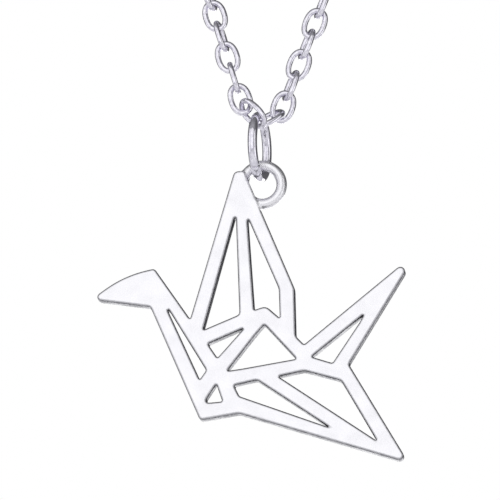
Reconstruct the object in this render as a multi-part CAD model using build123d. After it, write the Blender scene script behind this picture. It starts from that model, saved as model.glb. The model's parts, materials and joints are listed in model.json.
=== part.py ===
from build123d import *
import os
from math import acos, cos, pi, radians, sin, sqrt, tan

# A 16 inch necklace as it hangs when worn: a cast crane pendant in openwork, cut like the
# folds of a paper crane, on a jump ring and a cable chain of oval links with a lobster clasp.
# Millimetres. +Z is up and -Y is the front. The origin is the loop's highest point, at the
# nape of the neck. The pendant's own sizes are measured from the centre of its eyelet, with
# x to the right in a front view and z up.

# Crane plate
PLATE_THICKNESS = 1.8
EDGE_BEVEL = 0.20           # of the polished front edges
SHARP = 0.0                 # a corner with no rounding

# Corners of the crane's outline, clockwise in a front view: x, z and the corner's radius
BEAK_TIP = (-19.99, -13.40, 0.47)
BROW = (-16.04, -10.63, 13.0)
CROWN = (-12.52, -9.84, 0.38)
NECK_NOTCH = (-8.35, -15.86, SHARP)
WING_TIP = (-3.21, 1.55, 0.60)
WING_TOP = (-2.07, 1.55, SHARP)
WING_KNEE = (3.80, -12.42, 1.20)
WING_FOOT = (3.94, -18.08, 0.60)
TAIL_NOTCH = (4.90, -19.08, SHARP)
TAIL_TIP = (18.27, -8.16, 0.55)
RUMP_NOTCH = (10.11, -21.49, SHARP)
REAR_FOOT = (17.01, -33.14, 0.53)
BELLY = (-2.65, -27.07, 1.0)
BREAST_FOOT = (-7.18, -27.81, 0.42)
THROAT = (-12.99, -14.40, SHARP)

# Windows between the folds, each with its corners in the same form
NECK_WINDOW = ((-11.00, -14.72, SHARP), (-10.86, -14.72, SHARP), (-6.47, -21.94, SHARP),
               (-7.22, -23.01, SHARP))
WING_LEFT_WINDOW = ((-3.16, -3.93, SHARP), (-3.03, -3.94, SHARP), (-2.61, -15.43, 0.35),
                    (-6.82, -17.18, SHARP))
BREAST_WINDOW = ((-6.26, -18.84, SHARP), (-2.10, -17.07, SHARP), (-5.16, -20.49, SHARP))
WING_RIGHT_WINDOW = ((-1.65, -4.23, SHARP), (-1.555, -4.23, SHARP), (1.97, -12.46, 1.10),
                     (2.08, -15.91, SHARP), (0.48, -14.47, 0.90), (-0.89, -14.93, SHARP))
BODY_WINDOW = ((0.30, -16.67, SHARP), (-0.81, -17.96, 8.0), (-4.01, -22.04, SHARP),
               (-2.34, -21.81, 6.0), (3.99, -20.75, SHARP))
TAIL_WINDOW = ((11.84, -15.68, SHARP), (5.80, -20.54, SHARP), (8.20, -21.30, SHARP),
               (11.40, -16.50, 4.0))
RUMP_WINDOW = ((1.94, -22.79, SHARP), (4.92, -22.19, 0.90), (9.20, -23.39, 0.50),
               (13.28, -30.45, SHARP))
BELLY_WINDOW = ((-3.23, -23.76, SHARP), (-0.54, -23.19, 0.30), (7.80, -28.82, SHARP),
                (-2.61, -25.03, SHARP))
FOOT_WINDOW = ((-5.29, -23.59, SHARP), (-6.72, -25.79, 0.25), (-4.59, -25.62, SHARP))
WINDOWS = (NECK_WINDOW, WING_LEFT_WINDOW, BREAST_WINDOW, WING_RIGHT_WINDOW, BODY_WINDOW,
           TAIL_WINDOW, RUMP_WINDOW, BELLY_WINDOW, FOOT_WINDOW)

# Eyelet, cast in one with the wing tip
EYELET_BORE = 3.32          # diameter of its hole
EYELET_WIDTH = 1.22         # of its rim, across the hole's radius
EYELET_DEPTH = 1.50         # of its rim, front to back
EYELET_CORNER_COUNT = 24    # straight pieces round the rim

# Jump ring
RING_WIRE = 1.10
RING_INNER = 6.03           # inner diameter
RING_TURN = 9.0             # degrees that its plane is turned from the line of sight
RING_SHIFT = -0.30          # its centre, to the side of the eyelet's
RING_PLAY = 0.16            # between the ring and the eyelet's rim
RING_CORNER_COUNT = 20

# Cable chain
LINK_LENGTH = 4.05
LINK_WIDTH = 2.85
LINK_WIRE = 0.65
LINK_CORNER = 0.65          # cut off each corner of a link's path
LINK_END = 0.48             # half of the straight end of a plain link
LINK_PLAY = 0.05            # between two wires that hook into each other
END_LINK_LENGTH = 4.60      # of the larger link that holds the jump ring, one a side
END_LINK_WIDTH = 3.15
END_LINK_PLAY = 0.40        # between two wires at both its hooks
LINKS_A_SIDE = 71
SINGLE_LINKS = 6            # a side, each in its own node
RUN_LINKS = 5               # links in each further node
LEFT_HOOK_ANGLE = -22.0     # degrees from the ring's top to the left end link, to the front
RIGHT_HOOK_ANGLE = 24.0     # to the right one, to the back
LEFT_END_ROLL = -48.0       # degrees that it is turned about its length, from facing a viewer
RIGHT_END_ROLL = -70.0
LEFT_ROLLS = (10.0, 90.0, 0.0, 76.0, 0.0, 70.0)
RIGHT_ROLLS = (10.0, 115.0, 0.0, 115.0, 0.0, 112.0)

# Loop of the chain when worn
STRAND_ANGLE = 18.2         # degrees of each strand from the V's middle line
LOOP_LEAN = 1.6             # degrees that the middle line leans to the right
V_SHIFT = -0.15             # of the point where the strands' lines meet, from the eyelet
V_DROP = 2.36               # of that point, below the ring's centre
NECK_SLOPE = 130.0          # radius of the slope that the loop lies on, chest to nape
LEFT_DEPTH = -0.65          # of the left strand's lower end, behind the loop's surface
RIGHT_DEPTH = 2.30
DEPTH_TURN = 5.0            # degrees that this depth runs to the left of straight back
DEPTH_RISE = 11.0           # and upwards
NECK_RADIUS_GUESS = 40.0
SEARCH_STEPS = 60           # halvings in the search for the first link's place
CLOSING_STEPS = 20          # rounds in the search for the neck's radius
FRAME_STEP = 0.01           # along the loop, to either side of where its direction is taken

# Clasp set
SMALL_RING_WIRE = 0.70
SMALL_RING_INNER = 3.20
SMALL_RING_CORNER_COUNT = 12
CLASP_LENGTH = 8.6          # of the claw, without its tail eye
CLASP_WIDTH = 5.6
CLASP_WALL = 1.25           # of the claw's hook
CLASP_THICKNESS = 2.2
CLASP_NECK = 1.5            # width of the shank between claw and tail eye
CLASP_HEEL_INSET = 1.875    # of the lever's pivot, from the claw's tail end
CLASP_TIP_REACH = 2.0       # of the hook's tip, back from the claw's far end
TAIL_THICKNESS = 1.30       # of the shank and the tail eye
TAIL_EYE_BORE = 1.30
TAIL_EYE_WALL = 0.65
LEVER_THICKNESS = 1.0
LEVER_PLAY = 0.12           # round the lever in its slot and at the hook's tip
PIN_DIAMETER = 0.6
PIN_PLAY = 0.04
HEEL_WALL = 0.42            # of the lever round its pin
TAB_WIDTH = 1.0
TAB_RISE = 0.5              # of the lever's thumb tab, past the claw
SPRING_LEAF = 0.18          # thickness of the leaf spring
SPRING_LENGTH = 0.60
SPRING_RISE = 0.50
CLAW_CORNER_COUNT = 16      # straight pieces round the claw

# Wire sections are drawn with flat sides and the area of the round wire
NEAR_SIDES = 6
PLAIN_SIDES = 4
RING_SIDES = 8


def unit(vector):
    return vector * (1.0 / vector.length)


def section_radius(wire, sides):
    """Corner radius of a section with flat sides and the area of a round wire."""
    return wire / 2 * sqrt(2 * pi / (sides * sin(2 * pi / sides)))


def rounded_wire(corners):
    """Closed outline in x and z with each corner rounded by its own radius."""
    edges = []
    ends = []
    count = len(corners)
    for index in range(count):
        before = Vector(corners[index - 1][0], 0, corners[index - 1][1])
        corner = Vector(corners[index][0], 0, corners[index][1])
        after_x, after_z, _ = corners[(index + 1) % count]
        after = Vector(after_x, 0, after_z)
        to_before = unit(before - corner)
        to_after = unit(after - corner)
        half = acos(max(-1.0, min(1.0, to_before.dot(to_after)))) / 2
        radius = corners[index][2]
        reach = radius / tan(half)
        start = corner + to_before * reach
        end = corner + to_after * reach
        ends.append((start, end))
        if radius > 0:
            middle = corner + unit(to_before + to_after) * (radius / sin(half) - radius)
            edges.append(Edge.make_three_point_arc(start, middle, end))
    for index in range(count):
        edges.append(Edge.make_line(ends[index - 1][1], ends[index][0]))
    return Wire.combine(edges)[0]


def slab(corners, thickness):
    """Flat plate of an outline, centred on y = 0."""
    face = Face(rounded_wire(corners))
    solid = Solid.extrude(face, Vector(0, thickness, 0))
    return solid.moved(Location((0, -thickness / 2, 0)))


def wire_loop(path, half_width, half_depth, sides):
    """Closed wire along a flat path, made of straight pieces that meet in mitres.

    The path's corners are x, y pairs, anticlockwise. The section is a ring of flat sides,
    half_width across the path and half_depth along z, with a flat side turned inwards.
    """
    rings = []
    count = len(path)
    for index in range(count):
        corner = Vector(path[index][0], path[index][1], 0)
        before = unit(corner - Vector(path[index - 1][0], path[index - 1][1], 0))
        next_x, next_y = path[(index + 1) % count]
        after = unit(Vector(next_x, next_y, 0) - corner)
        out_before = Vector(before.Y, -before.X, 0)
        out_after = Vector(after.Y, -after.X, 0)
        mitre = unit(out_before + out_after)
        mitre = mitre * (1.0 / mitre.dot(out_after))
        ring = []
        for side in range(sides):
            angle = 2 * pi * (side + 0.5) / sides
            ring.append(corner + mitre * (half_width * cos(angle))
                        + Vector(0, 0, half_depth * sin(angle)))
        rings.append(ring)
    faces = []
    for index in range(count):
        here = rings[index]
        there = rings[(index + 1) % count]
        for side in range(sides):
            far = (side + 1) % sides
            faces.append(Face(Wire.make_polygon([here[side], there[side], there[far], here[far]])))
    return Solid(Shell(faces))


def round_path(mean_radius, corners):
    """Corners of a regular ring whose straight pieces run along a mean radius."""
    reach = mean_radius * (1 + 1 / cos(pi / corners)) / 2
    return [(reach * cos(2 * pi * n / corners), reach * sin(2 * pi * n / corners))
            for n in range(corners)]


def round_wire_ring(inner, wire, corners, sides):
    """Ring of round wire in the xy plane."""
    radius = section_radius(wire, sides)
    return wire_loop(round_path((inner + wire) / 2, corners), radius, radius, sides)


def placed(solid, centre, along, normal):
    """Copy of a solid with its x axis along a direction and its z axis on a normal."""
    return solid.moved(Plane(origin=centre, x_dir=along, z_dir=normal).location)


def rolled(direction, axis, angle):
    """Direction turned about an axis, in degrees."""
    return direction.rotate(Axis((0, 0, 0), axis), angle)


# Crane pendant, about the centre of its eyelet
def crane_pendant():
    outline = (BEAK_TIP, BROW, CROWN, NECK_NOTCH, WING_TIP, WING_TOP, WING_KNEE, WING_FOOT,
               TAIL_NOTCH, TAIL_TIP, RUMP_NOTCH, REAR_FOOT, BELLY, BREAST_FOOT, THROAT)
    plate = slab(outline, PLATE_THICKNESS)
    for window in WINDOWS:
        plate = plate - slab(window, 2 * PLATE_THICKNESS)
    front = plate.edges().filter_by_position(Axis.Y, -PLATE_THICKNESS / 2, -PLATE_THICKNESS / 2)
    plate = chamfer(front, EDGE_BEVEL)
    rim_radius = (EYELET_BORE + EYELET_WIDTH) / 2
    corner_scale = 1 / cos(pi / RING_SIDES)
    rim = wire_loop(round_path(rim_radius, EYELET_CORNER_COUNT), EYELET_WIDTH / 2 * corner_scale,
                    EYELET_DEPTH / 2 * corner_scale, RING_SIDES)
    return plate + rim.rotate(Axis.X, 90)


# Where everything hangs, about the centre of the eyelet
RING_RADIUS = (RING_INNER + RING_WIRE) / 2
RING_CENTRE = Vector(RING_SHIFT, 0, EYELET_BORE / 2 - RING_PLAY - RING_WIRE / 2 + RING_RADIUS)
RING_BACK = Vector(sin(radians(RING_TURN)), cos(radians(RING_TURN)), 0)
V_POINT = Vector(V_SHIFT, 0, RING_CENTRE.Z - V_DROP)
DEPTH_LINE = Vector(-tan(radians(DEPTH_TURN)), 1, tan(radians(DEPTH_RISE)))

LINK_REACH = (LINK_LENGTH - LINK_WIRE) / 2
LINK_HALF = (LINK_WIDTH - LINK_WIRE) / 2
END_LINK_REACH = (END_LINK_LENGTH - LINK_WIRE) / 2
END_LINK_HALF = (END_LINK_WIDTH - LINK_WIRE) / 2
HOOKED = LINK_WIRE + LINK_PLAY
LINK_PITCH = 2 * LINK_REACH - HOOKED
END_HOOKED = LINK_WIRE + END_LINK_PLAY
RING_HOOKED = (LINK_WIRE + RING_WIRE) / 2 + END_LINK_PLAY

SMALL_RING_RADIUS = (SMALL_RING_INNER + SMALL_RING_WIRE) / 2
SMALL_HOOKED = (LINK_WIRE + SMALL_RING_WIRE) / 2 + LINK_PLAY
LINK_TO_RING = LINK_REACH + SMALL_RING_RADIUS - SMALL_HOOKED
TAIL_EYE_REACH = CLASP_LENGTH / 2 + TAIL_EYE_BORE / 2 + TAIL_EYE_WALL
RING_HOLD = SMALL_RING_INNER / 2 - LINK_PLAY
RING_TO_EYE = TAIL_EYE_BORE / 2 + sqrt(RING_HOLD ** 2 - (TAIL_THICKNESS / 2) ** 2)
CLASP_TO_RING = CLASP_LENGTH / 2 - CLASP_WALL + sqrt(RING_HOLD ** 2 - (CLASP_THICKNESS / 2) ** 2)


def loop_point(side, station, neck_radius):
    """Point of the loop, its station measured along one strand from the V's point.

    Flat, the loop is a drop: two straight strands and the arc round the neck. It is then
    laid on the slope from chest to nape. Side is -1 on the left and 1 on the right.
    """
    angle = radians(STRAND_ANGLE)
    straight = neck_radius / tan(angle)
    centre = neck_radius / sin(angle)
    if station <= straight:
        across = side * station * sin(angle)
        up = station * cos(angle)
    else:
        turn = (station - straight) / neck_radius - angle
        across = side * neck_radius * cos(turn)
        up = centre + neck_radius * sin(turn)
    lean = radians(LOOP_LEAN)
    across, up = across * cos(lean) + up * sin(lean), up * cos(lean) - across * sin(lean)
    depth = LEFT_DEPTH if side < 0 else RIGHT_DEPTH
    depth = depth * max(0.0, 1 - station / straight)
    slope = up / NECK_SLOPE
    on_slope = Vector(across, NECK_SLOPE * (1 - cos(slope)), NECK_SLOPE * sin(slope))
    return V_POINT + on_slope + DEPTH_LINE * depth


def loop_frame(side, station, neck_radius):
    """Direction along the strand, away from the pendant, and the outward normal."""
    along = unit(loop_point(side, station + FRAME_STEP, neck_radius)
                 - loop_point(side, station - FRAME_STEP, neck_radius))
    height = loop_point(side, station, neck_radius).Z - V_POINT.Z
    lift = height / NECK_SLOPE
    outward = Vector(0, -sqrt(1 - lift * lift), lift)
    normal = unit(outward - along * outward.dot(along))
    return along, normal


def first_station(side, neck_radius):
    """Station at which the end link, hooked to the ring, holds the strand's first link."""
    hook = hook_point(side)
    reach = 2 * END_LINK_REACH - RING_HOOKED
    low = 0.0
    high = 4 * LINK_LENGTH
    for _ in range(SEARCH_STEPS):
        middle = (low + high) / 2
        gap = (loop_point(side, middle, neck_radius) - hook).length
        rising = loop_point(side, middle, neck_radius).Z > hook.Z
        if rising and gap > reach:
            high = middle
        else:
            low = middle
    return low + LINK_REACH - END_HOOKED


def hook_point(side):
    """Centre of the ring's wire where an end link holds it: front left and back right."""
    angle = radians(LEFT_HOOK_ANGLE if side < 0 else RIGHT_HOOK_ANGLE)
    return RING_CENTRE + (RING_BACK * sin(angle) + Vector(0, 0, cos(angle))) * RING_RADIUS


def solve_neck_radius():
    """Neck radius at which both strands and the clasp set close the loop."""
    closing = 2 * LINK_TO_RING + RING_TO_EYE + TAIL_EYE_REACH + CLASP_TO_RING
    per_radius = 2 * (1 / tan(radians(STRAND_ANGLE)) + pi / 2 + radians(STRAND_ANGLE))
    radius = NECK_RADIUS_GUESS
    for _ in range(CLOSING_STEPS):
        strands = 2 * (LINKS_A_SIDE - 1) * LINK_PITCH
        starts = first_station(-1, radius) + first_station(1, radius)
        radius = (strands + starts + closing) / per_radius
    return radius


NECK_RADIUS = solve_neck_radius()
HALF_LOOP = NECK_RADIUS * (1 / tan(radians(STRAND_ANGLE)) + pi / 2 + radians(STRAND_ANGLE))
NAPE = loop_point(1, HALF_LOOP, NECK_RADIUS)
TO_NAPE = Location(NAPE * -1)


def near_link(reach, half):
    """Link with cut corners, as in the stretch next to the pendant."""
    path = [(reach, -half + LINK_CORNER), (reach, half - LINK_CORNER),
            (reach - LINK_CORNER, half), (-reach + LINK_CORNER, half),
            (-reach, half - LINK_CORNER), (-reach, -half + LINK_CORNER),
            (-reach + LINK_CORNER, -half), (reach - LINK_CORNER, -half)]
    radius = section_radius(LINK_WIRE, NEAR_SIDES)
    return wire_loop(path, radius, radius, NEAR_SIDES)


def plain_link():
    """The plainer link of the rest of the chain."""
    path = [(LINK_REACH, -LINK_END), (LINK_REACH, LINK_END), (0, LINK_HALF),
            (-LINK_REACH, LINK_END), (-LINK_REACH, -LINK_END), (0, -LINK_HALF)]
    radius = section_radius(LINK_WIRE, PLAIN_SIDES)
    return wire_loop(path, radius, radius, PLAIN_SIDES)


def strand_link(link, side, index):
    """Link number index of a strand, counted from the pendant."""
    station = first_station(side, NECK_RADIUS) + index * LINK_PITCH
    along, normal = loop_frame(side, station, NECK_RADIUS)
    rolls = LEFT_ROLLS if side < 0 else RIGHT_ROLLS
    roll = rolls[index] if index < len(rolls) else 90.0 * (index % 2)
    return placed(link, loop_point(side, station, NECK_RADIUS), along,
                  rolled(normal, along, roll))


def end_link(link, side):
    """Link that holds the jump ring's wire and hooks into a strand's first link."""
    hook = hook_point(side)
    top_station = first_station(side, NECK_RADIUS) - LINK_REACH + END_HOOKED
    top = loop_point(side, top_station, NECK_RADIUS)
    along = unit(top - hook)
    facing = unit(DEPTH_LINE - along * DEPTH_LINE.dot(along))
    roll = LEFT_END_ROLL if side < 0 else RIGHT_END_ROLL
    return placed(link, top - along * END_LINK_REACH, along, rolled(facing, along, roll))


def jump_ring():
    """Jump ring, hung in the eyelet with its near side to the left."""
    ring = round_wire_ring(RING_INNER, RING_WIRE, RING_CORNER_COUNT, RING_SIDES)
    return placed(ring, RING_CENTRE, RING_BACK, RING_BACK.cross(Vector(0, 0, 1)))


# Clasp set. In its own frame x runs from the tail eye to the hook, y is across the clasp
# with the lever on its plus side, and z is its thickness.
LEVER_PIVOT = Vector(CLASP_HEEL_INSET - CLASP_LENGTH / 2, CLASP_WIDTH / 2 - CLASP_WALL, 0)
MOUTH_START = LEVER_PIVOT.X + CLASP_WALL
MOUTH_END = CLASP_LENGTH / 2 - CLASP_TIP_REACH
HEEL_RADIUS = PIN_DIAMETER / 2 + HEEL_WALL
SLOT_THICKNESS = LEVER_THICKNESS + 2 * LEVER_PLAY


def block(left, right, low, high, thickness):
    """Box in the clasp's plane, centred on its middle."""
    return Pos((left + right) / 2, (low + high) / 2, 0) * Box(right - left, high - low, thickness)


def disc(centre, radius, thickness):
    return Pos(centre.X, centre.Y, 0) * Cylinder(radius, thickness)


def oval(length, width, thickness):
    """Slab with the outline of an ellipse, drawn with straight sides."""
    turns = [2 * pi * n / CLAW_CORNER_COUNT for n in range(CLAW_CORNER_COUNT)]
    outline = [Vector(length / 2 * cos(turn), width / 2 * sin(turn), -thickness / 2)
               for turn in turns]
    return Solid.extrude(Face(Wire.make_polygon(outline)), Vector(0, 0, thickness))


def claw_oval(thickness):
    """The claw as a closed oval ring."""
    hole = oval(CLASP_LENGTH - 2 * CLASP_WALL, CLASP_WIDTH - 2 * CLASP_WALL, 2 * CLASP_THICKNESS)
    return oval(CLASP_LENGTH, CLASP_WIDTH, thickness) - hole


def clasp_body():
    """Claw with its open mouth and slotted cheeks, its shank and its tail eye."""
    eye = Vector(-TAIL_EYE_REACH, 0, 0)
    tail = Pos(eye.X, 0, 0) * oval(TAIL_EYE_BORE + 2 * TAIL_EYE_WALL,
                                   TAIL_EYE_BORE + 2 * TAIL_EYE_WALL, TAIL_THICKNESS)
    shank = block(eye.X, CLASP_WALL - CLASP_LENGTH / 2, -CLASP_NECK / 2, CLASP_NECK / 2,
                  TAIL_THICKNESS)
    hole = oval(CLASP_LENGTH - 2 * CLASP_WALL, CLASP_WIDTH - 2 * CLASP_WALL, 2 * CLASP_THICKNESS)
    body = claw_oval(CLASP_THICKNESS) + (shank - hole) + tail
    body = body - Pos(eye.X, 0, 0) * oval(TAIL_EYE_BORE, TAIL_EYE_BORE, 2 * CLASP_THICKNESS)
    body = body - block(MOUTH_START, MOUTH_END, 0, CLASP_WIDTH, 2 * CLASP_THICKNESS)
    body = body - block(-CLASP_LENGTH / 2, MOUTH_END, 0, CLASP_WIDTH, SLOT_THICKNESS)
    return body - disc(LEVER_PIVOT, PIN_DIAMETER / 2, 2 * CLASP_THICKNESS)


def clasp_lever():
    """Curved bar that shuts the mouth, with its heel round the pin and its thumb tab."""
    bar = claw_oval(LEVER_THICKNESS) & block(LEVER_PIVOT.X - HEEL_RADIUS, MOUTH_END - LEVER_PLAY,
                                             LEVER_PIVOT.Y - HEEL_RADIUS, CLASP_WIDTH,
                                             LEVER_THICKNESS)
    tab_top = Vector(LEVER_PIVOT.X, CLASP_WIDTH / 2 + TAB_RISE, 0)
    stem = block(tab_top.X - TAB_WIDTH / 2, tab_top.X + TAB_WIDTH / 2, LEVER_PIVOT.Y, tab_top.Y,
                 LEVER_THICKNESS)
    heel = Pos(LEVER_PIVOT.X, LEVER_PIVOT.Y, 0) * oval(2 * HEEL_RADIUS, 2 * HEEL_RADIUS,
                                                       LEVER_THICKNESS)
    lever = bar + heel + stem + Pos(tab_top.X, tab_top.Y, 0) * oval(TAB_WIDTH, TAB_WIDTH,
                                                                    LEVER_THICKNESS)
    return lever - disc(LEVER_PIVOT, PIN_DIAMETER / 2 + PIN_PLAY, 2 * CLASP_THICKNESS)


def clasp_pin():
    return disc(LEVER_PIVOT, PIN_DIAMETER / 2, CLASP_THICKNESS)


def clasp_spring():
    """Bent leaf on the floor of the lever's slot, behind the heel."""
    right = LEVER_PIVOT.X - HEEL_RADIUS - LEVER_PLAY
    left = right - SPRING_LENGTH
    foot = block(left, right, 0, SPRING_LEAF, LEVER_THICKNESS)
    return foot + block(left, left + SPRING_LEAF, 0, SPRING_RISE, LEVER_THICKNESS)


def closing_point(station):
    """Point of the loop, the station measured up the right strand and on over the nape."""
    if station <= HALF_LOOP:
        return loop_point(1, station, NECK_RADIUS)
    return loop_point(-1, 2 * HALF_LOOP - station, NECK_RADIUS)


def closing_plane(low, high, upright):
    """Plane on the chord between two stations, flat on the neck or standing on its edge."""
    start = closing_point(low)
    end = closing_point(high)
    along = unit(end - start)
    lift = ((start.Z + end.Z) / 2 - V_POINT.Z) / NECK_SLOPE
    outward = Vector(0, -sqrt(1 - lift * lift), lift)
    normal = unit(outward - along * outward.dot(along))
    if upright:
        normal = along.cross(normal)
    return Plane(origin=(start + end) / 2, x_dir=along, z_dir=normal)


LAST_STATION = first_station(1, NECK_RADIUS) + (LINKS_A_SIDE - 1) * LINK_PITCH
RING_STATION = LAST_STATION + LINK_TO_RING
EYE_STATION = RING_STATION + RING_TO_EYE
CLASP_STATION = EYE_STATION + TAIL_EYE_REACH
END_STATION = CLASP_STATION + CLASP_TO_RING
CLASP_PLANE = closing_plane(EYE_STATION, CLASP_STATION + TAIL_EYE_REACH, False)
CLASP_RING_PLANE = closing_plane(RING_STATION - SMALL_RING_RADIUS,
                                 RING_STATION + SMALL_RING_RADIUS, True)
END_RING_PLANE = closing_plane(END_STATION - SMALL_RING_RADIUS,
                               END_STATION + SMALL_RING_RADIUS, True)


def write(name, shape):
    export_step(shape.moved(TO_NAPE), "parts/" + name + ".step")


def main():
    os.makedirs("parts", exist_ok=True)
    end_solid = near_link(END_LINK_REACH, END_LINK_HALF)
    near_solid = near_link(LINK_REACH, LINK_HALF)
    plain_solid = plain_link()
    write("crane_pendant", crane_pendant())
    write("jump_ring", jump_ring())
    for side, name in ((-1, "left"), (1, "right")):
        write("end_link_" + name, end_link(end_solid, side))
        for index in range(SINGLE_LINKS):
            write("chain_link_%s_%02d" % (name, index + 1), strand_link(near_solid, side, index))
        run = 0
        for start in range(SINGLE_LINKS, LINKS_A_SIDE, RUN_LINKS):
            run = run + 1
            indices = range(start, min(start + RUN_LINKS, LINKS_A_SIDE))
            links = [strand_link(plain_solid, side, index) for index in indices]
            write("chain_run_%s_%02d" % (name, run), Compound(links))

    small_ring = round_wire_ring(SMALL_RING_INNER, SMALL_RING_WIRE, SMALL_RING_CORNER_COUNT,
                                 NEAR_SIDES)
    write("clasp_ring", small_ring.moved(CLASP_RING_PLANE.location))
    write("end_ring", small_ring.moved(END_RING_PLANE.location))
    clasp_parts = (("clasp_body", clasp_body()), ("clasp_lever", clasp_lever()),
                   ("clasp_pin", clasp_pin()), ("clasp_spring", clasp_spring()))
    for name, solid in clasp_parts:
        write(name, solid.moved(CLASP_PLANE.location))


main()
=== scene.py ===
"""Silver crane pendant on its cable chain, with finished surfaces and metals.

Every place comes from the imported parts, which are only read. Metres, in the parts' own frame:
+Z is up and -Y is the front. A surface of a new piece is worked out as whole numpy arrays.
"""

from __future__ import annotations

import json
import logging
from dataclasses import dataclass, field
from enum import Enum

import bmesh
import bpy
import numpy as np
from mathutils import Matrix, Vector
from mathutils.geometry import delaunay_2d_cdt

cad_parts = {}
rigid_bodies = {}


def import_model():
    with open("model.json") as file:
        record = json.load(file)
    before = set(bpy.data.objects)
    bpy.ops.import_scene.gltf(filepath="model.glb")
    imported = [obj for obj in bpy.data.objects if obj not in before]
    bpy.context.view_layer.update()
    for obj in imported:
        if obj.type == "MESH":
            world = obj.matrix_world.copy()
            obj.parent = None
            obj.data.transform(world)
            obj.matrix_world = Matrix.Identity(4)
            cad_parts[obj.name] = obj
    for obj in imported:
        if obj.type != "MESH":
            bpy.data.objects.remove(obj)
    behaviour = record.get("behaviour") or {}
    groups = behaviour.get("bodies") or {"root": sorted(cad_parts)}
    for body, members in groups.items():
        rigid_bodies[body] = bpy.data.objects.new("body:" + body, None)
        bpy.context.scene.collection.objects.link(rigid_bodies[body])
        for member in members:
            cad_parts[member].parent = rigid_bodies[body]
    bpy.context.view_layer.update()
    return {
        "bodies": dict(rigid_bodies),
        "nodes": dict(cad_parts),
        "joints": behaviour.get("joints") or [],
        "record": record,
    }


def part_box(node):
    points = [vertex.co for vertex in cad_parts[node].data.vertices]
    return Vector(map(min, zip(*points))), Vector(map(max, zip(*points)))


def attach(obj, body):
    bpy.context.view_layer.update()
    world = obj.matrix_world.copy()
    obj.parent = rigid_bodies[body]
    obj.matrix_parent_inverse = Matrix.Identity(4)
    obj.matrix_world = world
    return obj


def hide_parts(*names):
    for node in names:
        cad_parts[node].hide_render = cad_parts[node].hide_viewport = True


MM = 0.001
LOG = logging.getLogger("crane_pendant")
Array = np.ndarray


class Slot(Enum):
    """Material slots of the record."""

    CAST = "cast_silver"
    WIRE = "silver_wire"
    CLASP = "clasp_silver"
    SPRING = "spring_steel"


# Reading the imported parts


def welded(node: bpy.types.Object) -> tuple[Array, Array]:
    """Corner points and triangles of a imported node, with equal corners made one.

    Args:
        node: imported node, which is left as it is.

    Returns:
        Points, one row each, and triangles as rows of three point numbers.
    """
    mesh = node.data
    corners = np.empty(3 * len(mesh.vertices), np.float32)
    mesh.vertices.foreach_get("co", corners)
    mesh.calc_loop_triangles()
    triangles = np.empty(3 * len(mesh.loop_triangles), np.int32)
    mesh.loop_triangles.foreach_get("vertices", triangles)
    points, number = np.unique(corners.reshape(-1, 3), axis=0, return_inverse=True)
    return points.astype(float), number.ravel()[triangles].reshape(-1, 3)


def loose_parts(node: bpy.types.Object) -> list[Array]:
    """Point sets of a node's separate solids.

    Each point starts with its own number, and every triangle hands its lowest number to its
    corners until nothing changes, so that a solid's points end with one number.

    Args:
        node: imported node.

    Returns:
        One array of points for each solid.
    """
    points, triangles = welded(node)
    label = np.arange(len(points))
    while True:
        lowest = label[triangles].min(axis=1)
        changed = label.copy()
        np.minimum.at(changed, triangles.ravel(), np.repeat(lowest, 3))
        if np.array_equal(changed, label):
            break
        label = changed
    return [points[label == part] for part in np.unique(label)]


@dataclass(frozen=True)
class Place:
    """Centre and directions of a flat, symmetrical solid such as a link or a ring."""

    centre: Array
    along: Array
    across: Array
    normal: Array

    @classmethod
    def of(cls, points: Array) -> Place:
        """Place of a solid, from the directions in which its points spread most and least.

        Args:
            points: the solid's points.

        Returns:
            Its place, with the longest direction along and the thinnest as its normal.
        """
        centre = points.mean(axis=0)
        _, _, axes = np.linalg.svd(points - centre, full_matrices=False)
        return cls(centre, axes[0], axes[1], np.cross(axes[0], axes[1]))

    def turned_to(self, direction: Array) -> Place:
        """Same place with its along direction turned in its plane towards another."""
        along = direction - self.normal * (direction @ self.normal)
        along = along / np.linalg.norm(along)
        return Place(self.centre, along, np.cross(self.normal, along), self.normal)


# Making meshes


def new_piece(name: str, points: Array, faces: list[Array]) -> bpy.types.Object:
    """Smooth mesh object at the origin from whole arrays.

    Args:
        name: the piece's name.
        points: one row for each point, in metres.
        faces: arrays of point numbers, each with one face a row.

    Returns:
        The new object, linked into the scene.
    """
    corners = np.concatenate([rows.ravel() for rows in faces]).astype(np.int32)
    sizes = np.concatenate([np.full(len(rows), rows.shape[1]) for rows in faces])
    starts = np.concatenate([[0], np.cumsum(sizes)[:-1]]).astype(np.int32)
    mesh = bpy.data.meshes.new(name)
    mesh.vertices.add(len(points))
    mesh.vertices.foreach_set("co", points.astype(np.float32).ravel())
    mesh.loops.add(len(corners))
    mesh.loops.foreach_set("vertex_index", corners)
    mesh.polygons.add(len(sizes))
    mesh.polygons.foreach_set("loop_start", starts)
    mesh.update(calc_edges=True)
    mesh.validate()
    mesh.shade_smooth()
    piece = bpy.data.objects.new(name, mesh)
    bpy.context.scene.collection.objects.link(piece)
    return piece


def closed_grid(rows: int, columns: int) -> Array:
    """Quads of a grid of points that closes on itself in both directions."""
    row = np.arange(rows)[:, None]
    column = np.arange(columns)[None, :]
    next_row = (row + 1) % rows
    next_column = (column + 1) % columns
    quads = np.stack([row * columns + column, next_row * columns + column,
                      next_row * columns + next_column, row * columns + next_column], axis=-1)
    return quads.reshape(-1, 4)


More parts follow.
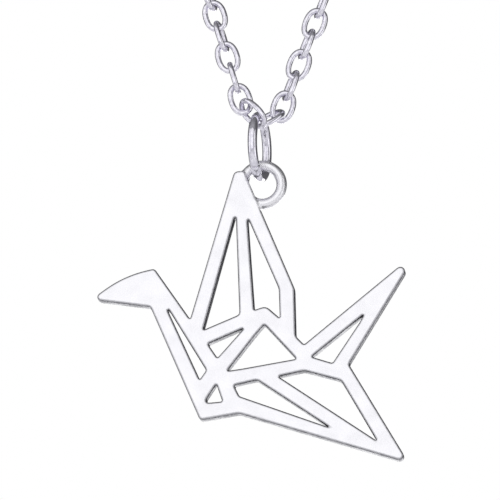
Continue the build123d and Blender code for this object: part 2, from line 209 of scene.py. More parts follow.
def swept_loop(path: Array, place: Place, radius: float, sides: int) -> tuple[Array, Array]:
    """Closed round tube along a flat closed path.

    A point of the tube is the path's point, plus the path's outward direction times the radius
    and the cosine of a turn, plus the normal times the radius and the turn's sine.

    Args:
        path: points of the path in the place's along and across directions, anticlockwise.
        place: where the path lies.
        radius: of the tube.
        sides: points round the tube.

    Returns:
        Points and quads.
    """
    forward = np.roll(path, -1, axis=0) - np.roll(path, 1, axis=0)
    forward = forward / np.linalg.norm(forward, axis=1, keepdims=True)
    outward = np.stack([forward[:, 1], -forward[:, 0]], axis=1)
    turn = 2 * np.pi * np.arange(sides) / sides
    flat = path[:, None, :] + outward[:, None, :] * (radius * np.cos(turn))[None, :, None]
    lift = np.broadcast_to(radius * np.sin(turn), flat.shape[:2])
    points = (place.centre + flat[..., :1] * place.along + flat[..., 1:] * place.across
              + lift[..., None] * place.normal)
    return points.reshape(-1, 3), closed_grid(len(path), sides)


def merged_copy(node: bpy.types.Object, name: str) -> bpy.types.Object:
    """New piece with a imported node's shape, its loose triangles joined."""
    points, triangles = welded(node)
    return new_piece(name, points, [triangles])


def adopt(piece: bpy.types.Object, body: str, material: bpy.types.Material,
          node: str) -> None:
    """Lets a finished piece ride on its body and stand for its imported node.

    Args:
        piece: the new piece, at the origin.
        body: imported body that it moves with.
        material: its finish.
        node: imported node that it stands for.
    """
    piece.data.materials.clear()
    piece.data.materials.append(material)
    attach(piece, body)
    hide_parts(node)
    LOG.info("%s: %d faces on %s", piece.name, len(piece.data.polygons), body)


# Shared shader groups

# Fine grains to each rounded cell
FINE_PER_CELL = 2.3
# Colour sockets of a Mix node, by number because their names repeat
MIX_FIRST = 6
MIX_SECOND = 7
MIX_RESULT = 2


@dataclass
class ShaderGroup:
    """Node group with named sockets, built once and placed in each material."""

    name: str
    tree: bpy.types.ShaderNodeTree = field(init=False)

    def __post_init__(self) -> None:
        """Makes the empty tree with its two end nodes."""
        self.tree = bpy.data.node_groups.new(self.name, "ShaderNodeTree")
        self.entry = self.tree.nodes.new("NodeGroupInput")
        self.exit = self.tree.nodes.new("NodeGroupOutput")

    def takes(self, name: str, kind: str, value: float | tuple | None = None) -> None:
        """Adds an input socket, with its value where nothing is linked."""
        socket = self.tree.interface.new_socket(name=name, in_out="INPUT", socket_type=kind)
        if value is not None:
            socket.default_value = value

    def gives(self, name: str, kind: str) -> None:
        """Adds an output socket."""
        self.tree.interface.new_socket(name=name, in_out="OUTPUT", socket_type=kind)

    def node(self, kind: str, **settings: object) -> bpy.types.ShaderNode:
        """Adds a node with its settings."""
        made = self.tree.nodes.new(kind)
        for key, value in settings.items():
            setattr(made, key, value)
        return made

    def link(self, source: bpy.types.NodeSocket, target: bpy.types.NodeSocket) -> None:
        """Joins two sockets."""
        self.tree.links.new(source, target)


def grain_group() -> ShaderGroup:
    """Pebbled skin of a cast face: rounded cells and a finer noise, as a height from 0 to 1.

    Returns:
        Group with Vector, Cells per metre and Fine Share, giving Height and Speckle.
    """
    group = ShaderGroup("cast_grain")
    group.takes("Vector", "NodeSocketVector")
    group.takes("Cells per metre", "NodeSocketFloat", 5000.0)
    group.takes("Fine Share", "NodeSocketFloat", 0.4)
    group.gives("Height", "NodeSocketFloat")
    group.gives("Speckle", "NodeSocketFloat")
    cells = group.node("ShaderNodeTexVoronoi", feature="SMOOTH_F1")
    fine = group.node("ShaderNodeTexNoise")
    fine.inputs["Detail"].default_value = 3.0
    fine_scale = group.node("ShaderNodeMath", operation="MULTIPLY")
    fine_scale.inputs[1].default_value = FINE_PER_CELL
    both = group.node("ShaderNodeMix")
    speckle = group.node("ShaderNodeMapRange")
    speckle.inputs["From Min"].default_value = 0.32
    speckle.inputs["From Max"].default_value = 0.70
    group.link(group.entry.outputs["Vector"], cells.inputs["Vector"])
    group.link(group.entry.outputs["Vector"], fine.inputs["Vector"])
    group.link(group.entry.outputs["Cells per metre"], cells.inputs["Scale"])
    group.link(group.entry.outputs["Cells per metre"], fine_scale.inputs[0])
    group.link(fine_scale.outputs[0], fine.inputs["Scale"])
    group.link(group.entry.outputs["Fine Share"], both.inputs["Factor"])
    group.link(cells.outputs["Distance"], both.inputs["A"])
    group.link(fine.outputs["Fac"], both.inputs["B"])
    group.link(fine.outputs["Fac"], speckle.inputs["Value"])
    group.link(both.outputs["Result"], group.exit.inputs["Height"])
    group.link(speckle.outputs["Result"], group.exit.inputs["Speckle"])
    return group


def wear_group() -> ShaderGroup:
    """Uneven polish: slow noise moves a value between its least and most.

    Returns:
        Group with Vector, Patches per metre, Least and Most, giving Value.
    """
    group = ShaderGroup("uneven_polish")
    group.takes("Vector", "NodeSocketVector")
    group.takes("Patches per metre", "NodeSocketFloat", 600.0)
    group.takes("Least", "NodeSocketFloat", 0.1)
    group.takes("Most", "NodeSocketFloat", 0.2)
    group.gives("Value", "NodeSocketFloat")
    patches = group.node("ShaderNodeTexNoise")
    patches.inputs["Detail"].default_value = 4.0
    spread = group.node("ShaderNodeMapRange")
    spread.inputs["From Min"].default_value = 0.30
    spread.inputs["From Max"].default_value = 0.70
    group.link(group.entry.outputs["Vector"], patches.inputs["Vector"])
    group.link(group.entry.outputs["Patches per metre"], patches.inputs["Scale"])
    group.link(patches.outputs["Fac"], spread.inputs["Value"])
    group.link(group.entry.outputs["Least"], spread.inputs["To Min"])
    group.link(group.entry.outputs["Most"], spread.inputs["To Max"])
    group.link(spread.outputs["Result"], group.exit.inputs["Value"])
    return group


def speckle_and_wall_shade_group() -> ShaderGroup:
    """Darkening mixed into the colour and broken up by noise: painted shade on the crane's walls
    and rounded edges, random speckle on the other metals.

    Returns:
        Group with Vector, the share of darkening, Clean and Dark, giving Color.
    """
    group = ShaderGroup("speckle_and_wall_shade")
    group.takes("Vector", "NodeSocketVector")
    # Share of darkening: painted shade on the crane's walls, random speckle on the other metals
    group.takes("Speckle and Shade", "NodeSocketFloat", 0.0)
    group.takes("Clean", "NodeSocketColor", (0.9, 0.9, 0.9, 1.0))
    group.takes("Dark", "NodeSocketColor", (0.1, 0.1, 0.1, 1.0))
    group.gives("Color", "NodeSocketColor")
    patches = group.node("ShaderNodeTexNoise")
    patches.inputs["Scale"].default_value = 2500.0
    patches.inputs["Detail"].default_value = 3.0
    broken = group.node("ShaderNodeMapRange")
    broken.inputs["From Min"].default_value = 0.30
    broken.inputs["From Max"].default_value = 0.60
    broken.inputs["To Min"].default_value = 0.75
    mask = group.node("ShaderNodeMath", operation="MULTIPLY")
    colour = group.node("ShaderNodeMix", data_type="RGBA")
    group.link(group.entry.outputs["Vector"], patches.inputs["Vector"])
    group.link(patches.outputs["Fac"], broken.inputs["Value"])
    group.link(broken.outputs["Result"], mask.inputs[0])
    group.link(group.entry.outputs["Speckle and Shade"], mask.inputs[1])
    group.link(mask.outputs[0], colour.inputs["Factor"])
    group.link(group.entry.outputs["Clean"], colour.inputs[MIX_FIRST])
    group.link(group.entry.outputs["Dark"], colour.inputs[MIX_SECOND])
    group.link(colour.outputs[MIX_RESULT], group.exit.inputs["Color"])
    return group


@dataclass
class GroupShelf:
    """The shader groups that the finishes share."""

    grain: ShaderGroup = field(default_factory=grain_group)
    wear: ShaderGroup = field(default_factory=wear_group)
    # Darkening group: painted shade on the crane's walls, random speckle on the other metals
    speckle_and_shade: ShaderGroup = field(default_factory=speckle_and_wall_shade_group)


@dataclass(frozen=True)
class MetalFinish:
    """A metal: its colours, its polish and its grain."""

    name: str
    clean: tuple[float, float, float]
    dark: tuple[float, float, float]
    roughness: tuple[float, float]
    patches: float
    cells: float
    fine_share: float
    bump: float
    bump_depth: float
    # Name of a point attribute that paints shade into the colour; without one, the grain's
    # speckle darkens it at random
    painted_wall_shade: str | None = None

    def material(self, shelf: GroupShelf) -> bpy.types.Material:
        """Builds the material.

        Args:
            shelf: the shared shader groups.

        Returns:
            A material whose colour, roughness and normal vary over the surface.
        """
        made = bpy.data.materials.new(self.name)
        made.use_nodes = True
        tree = made.node_tree
        shader = tree.nodes["Principled BSDF"]
        shader.inputs["Metallic"].default_value = 1.0
        place = tree.nodes.new("ShaderNodeTexCoord").outputs["Object"]
        grain = self._placed(tree, shelf.grain, place)
        grain.inputs["Cells per metre"].default_value = self.cells
        grain.inputs["Fine Share"].default_value = self.fine_share
        wear = self._placed(tree, shelf.wear, place)
        wear.inputs["Patches per metre"].default_value = self.patches
        wear.inputs["Least"].default_value = self.roughness[0]
        wear.inputs["Most"].default_value = self.roughness[1]
        speckle_and_shade = self._placed(tree, shelf.speckle_and_shade, place)
        speckle_and_shade.inputs["Clean"].default_value = (*self.clean, 1.0)
        speckle_and_shade.inputs["Dark"].default_value = (*self.dark, 1.0)
        # The darkening is painted shade from the point attribute where one is named, random
        # speckle otherwise
        if self.painted_wall_shade is None:
            tree.links.new(grain.outputs["Speckle"], speckle_and_shade.inputs["Speckle and Shade"])
        else:
            shade_attribute = tree.nodes.new("ShaderNodeAttribute")
            shade_attribute.attribute_name = self.painted_wall_shade
            tree.links.new(shade_attribute.outputs["Fac"], speckle_and_shade.inputs["Speckle and Shade"])
        bump = tree.nodes.new("ShaderNodeBump")
        bump.inputs["Strength"].default_value = self.bump
        bump.inputs["Distance"].default_value = self.bump_depth
        tree.links.new(grain.outputs["Height"], bump.inputs["Height"])
        tree.links.new(speckle_and_shade.outputs["Color"], shader.inputs["Base Color"])
        tree.links.new(wear.outputs["Value"], shader.inputs["Roughness"])
        tree.links.new(bump.outputs["Normal"], shader.inputs["Normal"])
        return made

    @staticmethod
    def _placed(tree: bpy.types.ShaderNodeTree, group: ShaderGroup,
                vector: bpy.types.NodeSocket) -> bpy.types.ShaderNode:
        """Puts a shared group into a material and gives it its coordinates."""
        node = tree.nodes.new("ShaderNodeGroup")
        node.node_tree = group.tree
        tree.links.new(vector, node.inputs["Vector"])
        return node


# Its dark colour is painted shade, laid on the walls and rounded edges by the point attribute
CAST_SILVER = MetalFinish("cast_silver", clean=(0.885, 0.88, 0.90), dark=(0.06, 0.06, 0.075),
                          roughness=(0.28, 0.42), patches=500.0, cells=4200.0, fine_share=0.45,
                          bump=0.5, bump_depth=0.00005, painted_wall_shade="painted_wall_shade")
DRAWN_SILVER = MetalFinish("silver_wire", clean=(0.90, 0.89, 0.94), dark=(0.62, 0.60, 0.68),
                           roughness=(0.06, 0.15), patches=900.0, cells=1400.0, fine_share=0.7,
                           bump=0.10, bump_depth=0.00003)
CLASP_SILVER = MetalFinish("clasp_silver", clean=(0.89, 0.89, 0.92), dark=(0.60, 0.60, 0.66),
                           roughness=(0.20, 0.32), patches=700.0, cells=1800.0, fine_share=0.6,
                           bump=0.12, bump_depth=0.00003)
SPRING_STEEL = MetalFinish("spring_steel", clean=(0.55, 0.56, 0.58), dark=(0.30, 0.30, 0.32),
                           roughness=(0.28, 0.40), patches=1500.0, cells=4000.0, fine_share=0.8,
                           bump=0.15, bump_depth=0.00002)


# The necklace's own pieces


@dataclass(frozen=True)
class LinkSize:
    """Outer length and width of an oval link."""

    length: float
    width: float


@dataclass
class CableChain:
    """Oval links of round wire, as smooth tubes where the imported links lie."""

    plain: LinkSize = LinkSize(4.05 * MM, 2.85 * MM)
    end: LinkSize = LinkSize(4.60 * MM, 3.15 * MM)
    wire: float = 0.65 * MM
    fullness: float = 2.3
    near_steps: int = 56
    near_sides: int = 18
    far_steps: int = 14
    far_sides: int = 5

    def path(self, size: LinkSize, steps: int) -> Array:
        """Middle line of a link, a superellipse.

        Its points are the half length and half width times the signed cosine and sine of a
        turn, each raised to two over the fullness, so that the sides are flatter than an oval's.

        Args:
            size: the link's outer size.
            steps: points along the line.

        Returns:
            Points in the link's plane.
        """
        turn = 2 * np.pi * np.arange(steps) / steps
        wave = np.stack([np.cos(turn), np.sin(turn)], axis=1)
        half = np.array([size.length - self.wire, size.width - self.wire]) / 2
        return half * np.sign(wave) * np.abs(wave) ** (2 / self.fullness)

    def links(self, node: bpy.types.Object, size: LinkSize, steps: int,
              sides: int) -> tuple[Array, Array]:
        """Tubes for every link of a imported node.

        Args:
            node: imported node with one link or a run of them.
            size: the outer size of each link.
            steps: points along each link.
            sides: points round its wire.

        Returns:
            Points and quads of all its links together.
        """
        line = self.path(size, steps)
        made = [swept_loop(line, Place.of(part), self.wire / 2, sides)
                for part in loose_parts(node)]
        count = steps * sides
        points = np.concatenate([one for one, _ in made])
        quads = np.concatenate([two + count * number for number, (_, two) in enumerate(made)])
        return points, quads

    def build(self, frame: dict, material: bpy.types.Material) -> None:
        """Makes the end links, the single links and the runs of both sides."""
        for name in sorted(frame["nodes"]):
            end = name.startswith("end_link_")
            single = end or name.startswith("chain_link_")
            if single or name.startswith("chain_run_"):
                size = self.end if end else self.plain
                steps = self.near_steps if single else self.far_steps
                sides = self.near_sides if single else self.far_sides
                points, quads = self.links(frame["nodes"][name], size, steps, sides)
                piece = new_piece("silver_" + name, points, [quads])
                adopt(piece, "chain", material, name)


@dataclass
class WireRing:
    """Ring bent from round wire, with a hairline cut where its ends meet."""

    node: str
    body: str
    inner: float
    wire: float
    cut: float = 0.06 * MM
    cut_turn: float = 2.4
    steps: int = 120
    sides: int = 28
    end_round: float = 0.07 * MM

    def surface(self, place: Place) -> tuple[Array, list[Array]]:
        """Open tube round the ring with both ends closed.

        A point is the mean radius plus the section radius times the cosine of the section's
        turn, out along the ring's turn, and the section radius times its sine along the
        normal. The section radius shrinks over the last bit at each end.

        Args:
            place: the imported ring's place.

        Returns:
            Points and faces.
        """
        mean = (self.inner + self.wire) / 2
        half_cut = self.cut / (2 * mean)
        ends = self.end_round / mean
        inner_turns = np.linspace(half_cut + ends, 2 * np.pi - half_cut - ends, self.steps)
        turns = np.concatenate([[half_cut], inner_turns, [2 * np.pi - half_cut]])
        radii = np.full(len(turns), self.wire / 2)
        radii[[0, -1]] -= self.end_round
        section = 2 * np.pi * np.arange(self.sides) / self.sides
        turn = turns[:, None] + self.cut_turn
        reach = mean + radii[:, None] * np.cos(section)
        rise = radii[:, None] * np.sin(section)
        points = (place.centre
                  + (reach * np.cos(turn))[..., None] * place.along
                  + (reach * np.sin(turn))[..., None] * place.across
                  + rise[..., None] * place.normal).reshape(-1, 3)
        quads = closed_grid(len(turns), self.sides)[:-self.sides]
        first = np.arange(self.sides)[None, :]
        last = first[:, ::-1] + (len(turns) - 1) * self.sides
        return points, [quads, first, last]

    def build(self, frame: dict, material: bpy.types.Material) -> None:
        """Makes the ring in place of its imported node."""
        place = Place.of(loose_parts(frame["nodes"][self.node])[0])
        upright = np.array([0.0, 0.0, 1.0])
        points, faces = self.surface(place.turned_to(upright))
        piece = new_piece("silver_" + self.node, points, faces)
        adopt(piece, self.body, material, self.node)


@dataclass
class CraneCasting:
    """Cast crane plate with its eyelet, soft at its edges where the polishing reached.

    A power says how fast the painted shade on the walls fades from an edge. Rows of points inside
    the edges lie deeper by the row stretch, and keep to places at least the row keep of that
    deep.
    """

    node: str = "crane_pendant"
    body: str = "crane"
    joint: str = "crane_swing"
    rim_radius: float = 2.27 * MM
    rim_half_wide: float = 0.61 * MM
    rim_half_deep: float = 0.75 * MM
    front_round: float = 0.28 * MM
    back_round: float = 0.16 * MM
    corner_softening: int = 3
    step: float = 0.12 * MM
    grid_step: float = 0.55 * MM
    weld_reach: float = 0.45 * MM
    weld_slope: float = 2.5
    # Reach over which the painted shade fades out beside the eyelet
    weld_fade: float = 0.40 * MM
    wall_shade_power: float = 1.1
    ring_count: int = 6
    rim_steps: int = 120
    rim_rings: int = 11
    rim_overlap: float = 0.35 * MM
    row_stretch: float = 1.02
    row_keep: float = 0.97
    sure_share: float = 0.02
    merge_reach: float = 0.002 * MM
    flat_within: float = 1e-6
    meeting_within: float = 1e-5
    batch: int = 200

    def outline(self, node: bpy.types.Object) -> list[Array]:
        """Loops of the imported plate's flat back face: its outline and its windows.

        An edge of the back's triangles that no other runs the opposite way is on a loop. The
        edges are put in order by doubling: each point learns how many steps it is from the
        lowest point of its loop, in ever longer strides.

        Args:
            node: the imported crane.

        Returns:
            Closed loops as rows of x and z, with the metal on the side of z, -x of the run.
        """
        points, triangles = welded(node)
        level = points[:, 1].max() - self.flat_within
        flat = triangles[np.all(points[triangles][:, :, 1] > level, axis=1)]
        edges = np.concatenate([flat[:, [0, 1]], flat[:, [1, 2]], flat[:, [2, 0]]])
        count = len(points)
        forward = edges[:, 0] * count + edges[:, 1]
        backward = edges[:, 1] * count + edges[:, 0]
        edges = edges[~np.isin(forward, backward)]
        following = np.arange(count)
        following[edges[:, 0]] = edges[:, 1]
        used = np.unique(edges[:, 0])
        lowest = np.arange(count)
        stride = following.copy()
        for _ in range(int(np.ceil(np.log2(len(used)))) + 1):
            lowest = np.minimum(lowest, lowest[stride])
            stride = stride[stride]
        steps = (np.arange(count) != lowest).astype(int)
        stride = np.where(steps > 0, following, np.arange(count))
        for _ in range(int(np.ceil(np.log2(len(used)))) + 1):
            steps = steps + steps[stride]
            stride = stride[stride]
        loops = []
        for start in np.unique(lowest[used]):
            members = used[lowest[used] == start]
            members = members[np.argsort(-steps[members])]
            loops.append(points[members][:, [0, 2]])
        return loops

    def resampled(self, loop: Array) -> Array:
        """Loop with even steps, its corners softened by averaging with both neighbours."""
        closed = np.concatenate([loop, loop[:1]])
        runs = np.linalg.norm(np.diff(closed, axis=0), axis=1)
        reach = np.concatenate([[0], np.cumsum(runs)])
        count = int(np.ceil(reach[-1] / self.step))
        at = np.linspace(0, reach[-1], count, endpoint=False)
        even = np.stack([np.interp(at, reach, closed[:, axis]) for axis in (0, 1)], axis=1)
        for _ in range(self.corner_softening):
            even = (np.roll(even, 1, axis=0) + 2 * even + np.roll(even, -1, axis=0)) / 4
        return even

    @staticmethod
    def inward(loop: Array) -> Array:
        """Unit direction into the metal at each point of a loop."""
        run = np.roll(loop, -1, axis=0) - np.roll(loop, 1, axis=0)
        run = run / np.linalg.norm(run, axis=1, keepdims=True)
        return np.stack([run[:, 1], -run[:, 0]], axis=1)

    def depth(self, points: Array, loops: list[Array]) -> Array:
        """Distance of points from the nearest loop, more than 0 inside the metal.

        The distance is the least to any straight piece. A point is inside if a line from it
        crosses the loops an odd number of times. Points are taken in batches, to save memory.

        Args:
            points: rows of x and z.
            loops: closed loops.

        Returns:
            One signed distance a point.
        """
        start = np.concatenate(loops).astype(np.float32)
        run = np.concatenate([np.roll(loop, -1, axis=0) - loop for loop in loops])
        run = run.astype(np.float32)
        square = (run ** 2).sum(axis=1)
        slope = run[:, 0] / np.where(run[:, 1] == 0, np.float32(1e-12), run[:, 1])
        result = np.empty(len(points))
        for low in range(0, len(points), self.batch):
            part = points[low:low + self.batch].astype(np.float32)
            across = part[:, :1] - start[:, 0]
            up = part[:, 1:] - start[:, 1]
            share = np.clip((across * run[:, 0] + up * run[:, 1]) / square, 0, 1)
            gap = (across - share * run[:, 0]) ** 2 + (up - share * run[:, 1]) ** 2
            nearest = np.sqrt(gap.min(axis=1))
            crossing = (up < 0) != (up < run[:, 1])
            inside = (crossing & (across < up * slope)).sum(axis=1) % 2 == 1
            result[low:low + self.batch] = np.where(inside, nearest, -nearest)
        return result

    def profile(self, depth: Array, half: float, rounding: float) -> Array:
        """Height of the plate's face over its middle plane.

        It rises over the edge on a quarter circle, as the square root of the radius squared
        less the square of what is left of the radius, and falls steeply outside the plate.
        """
        left = rounding - np.clip(depth, 0, rounding)
        face = half - rounding + np.sqrt(np.maximum(rounding ** 2 - left ** 2, 0))
        return np.where(depth < 0, half - rounding + self.weld_slope * depth, face)

    def rim(self, flat: Array) -> Array:
        """Height of the eyelet's tube over the middle plane, an ellipse across its rim."""
        off = np.abs(np.linalg.norm(flat, axis=1) - self.rim_radius)
        inside = np.sqrt(np.maximum(1 - (off / self.rim_half_wide) ** 2, 0))
        outside = -self.weld_slope * (off - self.rim_half_wide)
        return np.where(off < self.rim_half_wide, self.rim_half_deep * inside, outside)

    def height(self, flat: Array, depth: Array, half: float, rounding: float) -> Array:
        """Plate and eyelet together: the higher of the two, with a soft weld between them.

        Where the two heights differ by less than the weld's reach, the square of what is left
        of the reach, over four reaches, is added.
        """
        plate = self.profile(depth, half, rounding)
        tube = self.rim(flat)
        left = np.maximum(self.weld_reach - np.abs(plate - tube), 0)
        return np.maximum(np.maximum(plate, tube) + left ** 2 / (4 * self.weld_reach), 0)

    def spread(self, loops: list[Array]) -> tuple[Array, list[list[int]]]:
        """Points over the plate and the eyelet, and the edges that must be kept.

        Rows of points follow every loop at the depths where the rounding turns by even
        angles, rings follow the eyelet's tube likewise, and a staggered grid fills the rest.

        Args:
            loops: the plate's loops about the eyelet's centre.

        Returns:
            Points as rows of x and z, and edges as pairs of point numbers.
        """
        turn = 2 * np.pi * np.arange(self.rim_steps) / self.rim_steps
        circle = np.stack([np.cos(turn), np.sin(turn)], axis=1)
        rings = [circle * (self.rim_radius + side * self.rim_half_wide) for side in (-1, 1)]
        fixed = [*loops, *rings]
        edges = []
        first = 0
        for loop in fixed:
            number = np.arange(len(loop))
            edges.append(np.stack([number, (number + 1) % len(loop)], axis=1) + first)
            first += len(loop)

        angle = np.linspace(0, np.pi / 2, self.ring_count + 1)[1:]
        depths = self.front_round * (1 - np.cos(angle)) * self.row_stretch
        border = np.concatenate(loops)
        into = np.concatenate([self.inward(loop) for loop in loops])
        rows = [border + into * depth for depth in depths]
        kept = [row[self.depth(row, loops) > depth * self.row_keep]
                for row, depth in zip(rows, depths)]

        section = np.linspace(0, np.pi, self.rim_rings + 2)[1:-1]
        radii = self.rim_radius + self.rim_half_wide * np.cos(section)
        tube = (circle[None] * radii[:, None, None]).reshape(-1, 2)
        kept.append(tube[self.depth(tube, loops) < self.rim_overlap])

        low = border.min(axis=0)
        high = border.max(axis=0)
        across = np.arange(low[0], high[0], self.grid_step)
        up = np.arange(low[1], high[1], self.grid_step * np.sqrt(0.75))
        grid = np.stack(np.meshgrid(across, up, indexing="ij"), axis=-1)
        grid[:, 1::2, 0] += self.grid_step / 2
        grid = grid.reshape(-1, 2)
        kept.append(grid[self.depth(grid, loops) > self.front_round + self.step])
        return np.concatenate([*fixed, *kept]), np.concatenate(edges).tolist()

    def covered(self, flat: Array, depth: Array, triangles: Array, loops: list[Array]) -> Array:
        """Whether triangles lie in the plate or under the eyelet's tube.

        A triangle with a corner well inside the plate is in it, and the middle of any other
        is asked for.

        Args:
            flat: points as rows of x and z.
            depth: their depths in the plate.
            triangles: rows of point numbers.
            loops: the plate's loops.

        Returns:
            One answer a triangle.
        """
        middle = flat[triangles].mean(axis=1)
        off = np.abs(np.linalg.norm(middle, axis=1) - self.rim_radius)
        inside = depth[triangles].max(axis=1) > self.sure_share * self.front_round
        asked = np.flatnonzero(~inside)
        inside[asked] = self.depth(middle[asked], loops) > 0
        return inside | (off < self.rim_half_wide)

    def build(self, frame: dict, material: bpy.types.Material) -> None:
        """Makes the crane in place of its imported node."""
        node = frame["nodes"][self.node]
        low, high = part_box(self.node)
        joint = next(one for one in frame["joints"] if one["name"] == self.joint)
        pivot = joint["pos_m"]
        middle = (low.y + high.y) / 2
        half = (high.y - low.y) / 2
        centre = np.array([pivot[0], middle, pivot[2] - self.rim_radius])
        loops = [self.resampled(loop - centre[[0, 2]]) for loop in self.outline(node)]
        flat, edges = self.spread(loops)
        made = delaunay_2d_cdt([Vector(point) for point in flat / MM], edges, [], 0,
                               self.meeting_within)
        flat = np.array([tuple(point) for point in made[0]]) * MM
        triangles = np.array([face for face in made[2] if len(face) == 3])
        depth = self.depth(flat, loops)
        triangles = triangles[self.covered(flat, depth, triangles, loops)]

        front = self.height(flat, depth, half, self.front_round)
        back = self.height(flat, depth, half, self.back_round)
        corner = flat[triangles]
        turn = np.cross(corner[:, 1] - corner[:, 0], corner[:, 2] - corner[:, 0])
        triangles[turn < 0] = triangles[turn < 0][:, ::-1]
        count = len(flat)
        points = np.concatenate([np.insert(flat, 1, -front, axis=1),
                                 np.insert(flat, 1, back, axis=1)]) + centre
        sides = np.concatenate([triangles[:, [0, 1]], triangles[:, [1, 2]], triangles[:, [2, 0]]])
        forward = sides[:, 0] * count + sides[:, 1]
        backward = sides[:, 1] * count + sides[:, 0]
        border = sides[~np.isin(forward, backward)]
        walls = np.stack([border[:, 1], border[:, 0], border[:, 0] + count,
                          border[:, 1] + count], axis=1)
        piece = new_piece("silver_crane", points, [triangles, triangles[:, ::-1] + count, walls])
        # Painted shade for the walls and rounded edges, the same on the front and the back points
        painted_wall_shade = self.painted_wall_shade(flat, depth)
        mark = piece.data.attributes.new("painted_wall_shade", "FLOAT", "POINT")
        mark.data.foreach_set("value", np.tile(painted_wall_shade, 2).astype(np.float32))
        weld(piece, self.merge_reach)
        adopt(piece, self.body, material, self.node)

    def painted_wall_shade(self, flat: Array, depth: Array) -> Array:
        """How much painted shade each point gets: none on the faces, and full on the walls.

        It fades out towards the eyelet, over the weld's fade from the outside of its tube.
        """
        edge = 1 - np.clip(depth / self.front_round, 0, 1)
        off = np.abs(np.linalg.norm(flat, axis=1) - self.rim_radius) - self.rim_half_wide
        return edge ** self.wall_shade_power * np.clip(off / self.weld_fade, 0, 1)


def weld(piece: bpy.types.Object, reach: float) -> None:
    """Joins a piece's points that lie within a reach of each other, and drops flat faces."""
    shape = bmesh.new()
    shape.from_mesh(piece.data)
    bmesh.ops.remove_doubles(shape, verts=shape.verts, dist=reach)
    bmesh.ops.dissolve_degenerate(shape, dist=reach / 10, edges=shape.edges)
    shape.to_mesh(piece.data)
    shape.free()
    piece.data.shade_smooth()


@dataclass
class LobsterClasp:
    """Claw, lever, pin and spring, with their sharp machined edges rounded off."""

    round_edge: float = 0.16 * MM
    segments: int = 3
    sharp_turn: float = 0.6

    def build(self, frame: dict, silver: bpy.types.Material, steel: bpy.types.Material) -> None:
        """Makes the clasp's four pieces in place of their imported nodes."""
        parts = (("clasp_body", "chain", Slot.CLASP, silver, 1.0),
                 ("clasp_lever", "clasp_lever", Slot.CLASP, silver, 0.8),
                 ("clasp_pin", "chain", Slot.CLASP, silver, 0.5),
                 ("clasp_spring", "chain", Slot.SPRING, steel, 0.3))
        for name, body, slot, material, share in parts:
            piece = merged_copy(frame["nodes"][name], "silver_" + name)
            rounding = piece.modifiers.new("rounded_edges", "BEVEL")
            rounding.width = self.round_edge * share
            rounding.segments = self.segments
            rounding.limit_method = "ANGLE"
            rounding.angle_limit = self.sharp_turn
            rounding.harden_normals = True
            adopt(piece, body, material, name)


# Picture


@dataclass
class PhotoCamera:
    """Camera at the photograph's angle: a little to the right and below, from far away."""

    azimuth: float = 5.0
    elevation: float = -11.0
    distance: float = 0.70
    frame_width: float = 58.14 * MM
    aim: tuple[float, float, float] = (-1.436 * MM, 0.0, -7.70 * MM)
    sensor: float = 36.0
    sees_from: float = 0.05
    sees_to: float = 30.0

    def build(self, eyelet: Array) -> None:
        """Makes the camera.

        Args:
            eyelet: centre of the crane's eyelet, from which the aim is measured.
        """
        azimuth = np.radians(self.azimuth)
        elevation = np.radians(self.elevation)
        towards = np.array([np.sin(azimuth) * np.cos(elevation),
                            -np.cos(azimuth) * np.cos(elevation), np.sin(elevation)])
        right = np.array([np.cos(azimuth), np.sin(azimuth), 0.0])
        up = np.cross(towards, right)
        place = Matrix.Identity(4)
        for column, axis in enumerate((right, up, towards, eyelet + self.aim
                                       + towards * self.distance)):
            for row in range(3):
                place[row][column] = axis[row]
        data = bpy.data.cameras.new("photo_camera")
        data.sensor_width = self.sensor
        data.lens = self.sensor * self.distance / self.frame_width
        data.clip_start = self.sees_from
        data.clip_end = self.sees_to
        camera = bpy.data.objects.new("photo_camera", data)
        bpy.context.scene.collection.objects.link(camera)
        camera.matrix_world = place
        bpy.context.scene.camera = camera


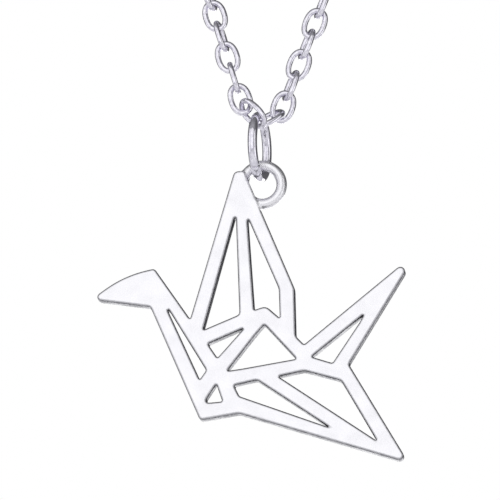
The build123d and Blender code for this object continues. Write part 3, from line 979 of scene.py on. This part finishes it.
@dataclass
class Studio:
    """Pale floor, white surround and soft lamps.

    A lamp is its name, its place from the centre, its width, its height and its power.
    """

    white: tuple[float, float, float, float] = (1.0, 1.0, 1.0, 1.0)
    cool_white: tuple[float, float, float, float] = (0.96, 0.96, 1.0, 1.0)
    pale_grey: tuple[float, float, float, float] = (0.86, 0.86, 0.86, 1.0)
    floor_roughness: float = 0.8
    floor_drop: float = 0.62
    floor_half: float = 5.0
    surround: float = 1.0
    bright_side: tuple[float, float, float] = (-0.40, -0.85, -0.35)
    reflected: tuple[float, float] = (0.12, 0.62)
    dark_from: float = -0.60
    floor_glow: float = 0.42
    lamps: tuple[tuple[str, tuple[float, float, float], float, float, float], ...] = (
        ("front_panel", (-0.15, -1.10, 0.40), 1.7, 1.6, 5.3),
        ("left_panel", (-1.00, -0.30, 0.25), 0.5, 1.2, 1.5),
        ("right_panel", (1.00, -0.40, 0.10), 0.5, 1.2, 1.6),
        ("top_panel", (0.0, -0.10, 1.00), 1.0, 1.0, 0.15),
        ("back_panel", (0.0, 1.10, -0.17), 1.2, 0.3, 2.4),
    )

    def build(self, centre: Array) -> None:
        """Makes the floor, the surround and the lamps.

        Args:
            centre: point that the lamps face.
        """
        self.floor(centre)
        self.world()
        for name, offset, wide, high, power in self.lamps:
            data = bpy.data.lights.new(name, "AREA")
            data.shape = "RECTANGLE"
            data.size = wide
            data.size_y = high
            data.energy = power
            lamp = bpy.data.objects.new(name, data)
            lamp.location = Vector(centre + np.array(offset))
            away = Vector(offset)
            lamp.rotation_euler = away.to_track_quat("Z", "Y").to_euler()
            bpy.context.scene.collection.objects.link(lamp)

    def floor(self, centre: Array) -> None:
        """Lays a pale floor that glows a little, well under the pendant.

        Args:
            centre: point that the floor lies under.
        """
        half = self.floor_half
        level = centre[2] - self.floor_drop
        corners = np.array([[-half, -half, level], [half, -half, level], [half, half, level],
                            [-half, half, level]])
        floor = new_piece("studio_floor", corners, [np.array([[0, 1, 2, 3]])])
        paint = bpy.data.materials.new("studio_floor")
        paint.use_nodes = True
        shader = paint.node_tree.nodes["Principled BSDF"]
        shader.inputs["Base Color"].default_value = self.pale_grey
        shader.inputs["Roughness"].default_value = self.floor_roughness
        shader.inputs["Emission Color"].default_value = self.cool_white
        shader.inputs["Emission Strength"].default_value = self.floor_glow
        floor.data.materials.append(paint)

    def world(self) -> None:
        """White surround, which the metal sees as grey: light on one side and dark opposite.

        The grey grows over the reflected range with the cosine between a direction and the
        bright side, from where it is no longer dark.
        """
        world = bpy.data.worlds.new("studio")
        bpy.context.scene.world = world
        world.use_nodes = True
        tree = world.node_tree
        tree.nodes.clear()
        path = tree.nodes.new("ShaderNodeLightPath")
        seen = tree.nodes.new("ShaderNodeBackground")
        seen.inputs["Strength"].default_value = self.surround
        seen.inputs["Color"].default_value = self.white
        mirrored = tree.nodes.new("ShaderNodeBackground")
        mirrored.inputs["Color"].default_value = self.cool_white
        place = tree.nodes.new("ShaderNodeTexCoord")
        facing = tree.nodes.new("ShaderNodeVectorMath")
        facing.operation = "DOT_PRODUCT"
        facing.inputs[1].default_value = self.bright_side
        strength = tree.nodes.new("ShaderNodeMapRange")
        strength.inputs["From Min"].default_value = self.dark_from
        strength.inputs["To Min"].default_value = self.reflected[0]
        strength.inputs["To Max"].default_value = self.reflected[1]
        both = tree.nodes.new("ShaderNodeMixShader")
        out = tree.nodes.new("ShaderNodeOutputWorld")
        tree.links.new(place.outputs["Generated"], facing.inputs[0])
        tree.links.new(facing.outputs["Value"], strength.inputs["Value"])
        tree.links.new(strength.outputs["Result"], mirrored.inputs["Strength"])
        tree.links.new(path.outputs["Is Camera Ray"], both.inputs["Fac"])
        tree.links.new(mirrored.outputs[0], both.inputs[1])
        tree.links.new(seen.outputs[0], both.inputs[2])
        tree.links.new(both.outputs[0], out.inputs["Surface"])


def main() -> None:
    """Builds the necklace's pieces in order, then the picture."""
    logging.basicConfig(level=logging.INFO, format="%(name)s: %(message)s")
    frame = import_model()
    shelf = GroupShelf()
    wire = DRAWN_SILVER.material(shelf)
    clasp_metal = CLASP_SILVER.material(shelf)
    steel = SPRING_STEEL.material(shelf)

    crane = CraneCasting()
    crane.build(frame, CAST_SILVER.material(shelf))
    WireRing("jump_ring", "jump_ring", inner=6.03 * MM, wire=1.10 * MM).build(frame, wire)
    CableChain().build(frame, wire)
    for name in ("clasp_ring", "end_ring"):
        WireRing(name, "chain", inner=3.20 * MM, wire=0.70 * MM, steps=48, sides=14,
                 end_round=0.05 * MM).build(frame, wire)
    LobsterClasp().build(frame, clasp_metal, steel)

    low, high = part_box(crane.node)
    joint = next(one for one in frame["joints"] if one["name"] == crane.joint)
    eyelet = np.array(joint["pos_m"]) - np.array([0.0, 0.0, crane.rim_radius])
    PhotoCamera().build(eyelet)
    Studio().build(np.array((low + high) / 2))
    scene = bpy.context.scene
    scene.view_settings.view_transform = "Standard"


if __name__ == "__main__":
    main()
